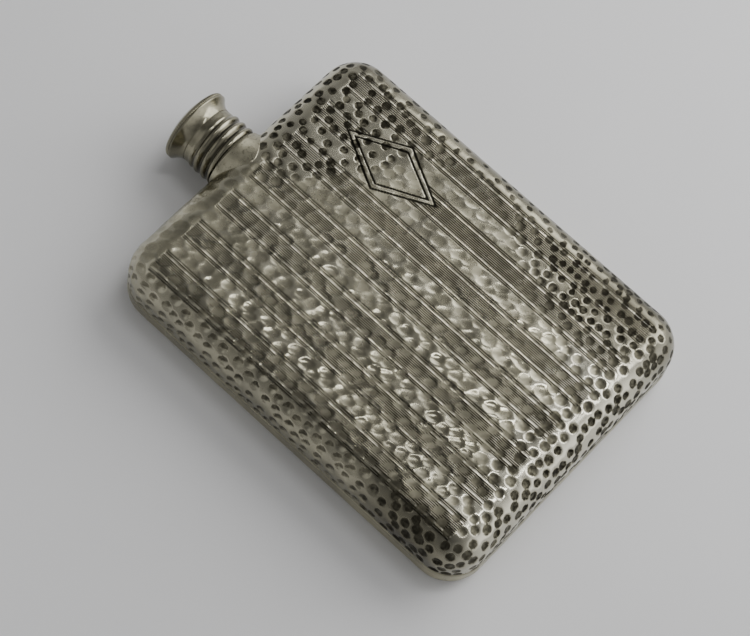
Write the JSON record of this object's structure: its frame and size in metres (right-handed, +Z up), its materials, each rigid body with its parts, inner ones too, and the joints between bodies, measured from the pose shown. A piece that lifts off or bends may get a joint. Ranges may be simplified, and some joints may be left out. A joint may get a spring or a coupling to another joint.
{
  "type": "hip flask",
  "caption": "Flat pressed-metal pocket flask with rolled front edges, a side seam, a threaded neck in a soldered collar and a domed screw cap with a cork seal.",
  "frame": {"origin": "under the middle of the whole flask, cap included, on the surface that its back lies on", "axes": "+Z up through the thickness, out of the hammered front; +Y along the neck's axis towards the cap; +X across the width"},
  "size_m": [0.096, 0.1432, 0.0226],
  "materials": {
    "hammered_nickel_silver": "hammered and engine-turned nickel silver, worn bright on the ridges and dark with tarnish in the hollows",
    "body_nickel_silver": "smooth nickel silver side wall with dull handling wear",
    "plain_nickel_silver": "smooth worn nickel silver with tarnish in the thread's hollows",
    "cork": "pressed cork"
  },
  "bodies": {
    "flask": {"front_shell": "hammered_nickel_silver", "back_shell": "body_nickel_silver", "neck_collar": "plain_nickel_silver", "spout_tube": "plain_nickel_silver"},
    "seal": {"cork_seal": "cork"},
    "cap": {"cap_cup": "plain_nickel_silver", "cap_flange": "plain_nickel_silver", "cap_dome": "plain_nickel_silver"}
  },
  "joints": [
    {"name": "cap_rise", "type": "slide", "parent": "flask", "child": "seal", "axis": [0, 1, 0], "range_m": [0, 0.01276]},
    {"name": "cap_turn", "type": "hinge", "parent": "seal", "child": "cap", "pos_m": [0, 0.0607, 0.0114], "axis": [0, 1, 0], "range_deg": [0, 1800]}
  ],
  "couplings": [
    {"joint": "cap_rise", "follows": "cap_turn", "m_per_rad": 0.00040585}
  ]
}
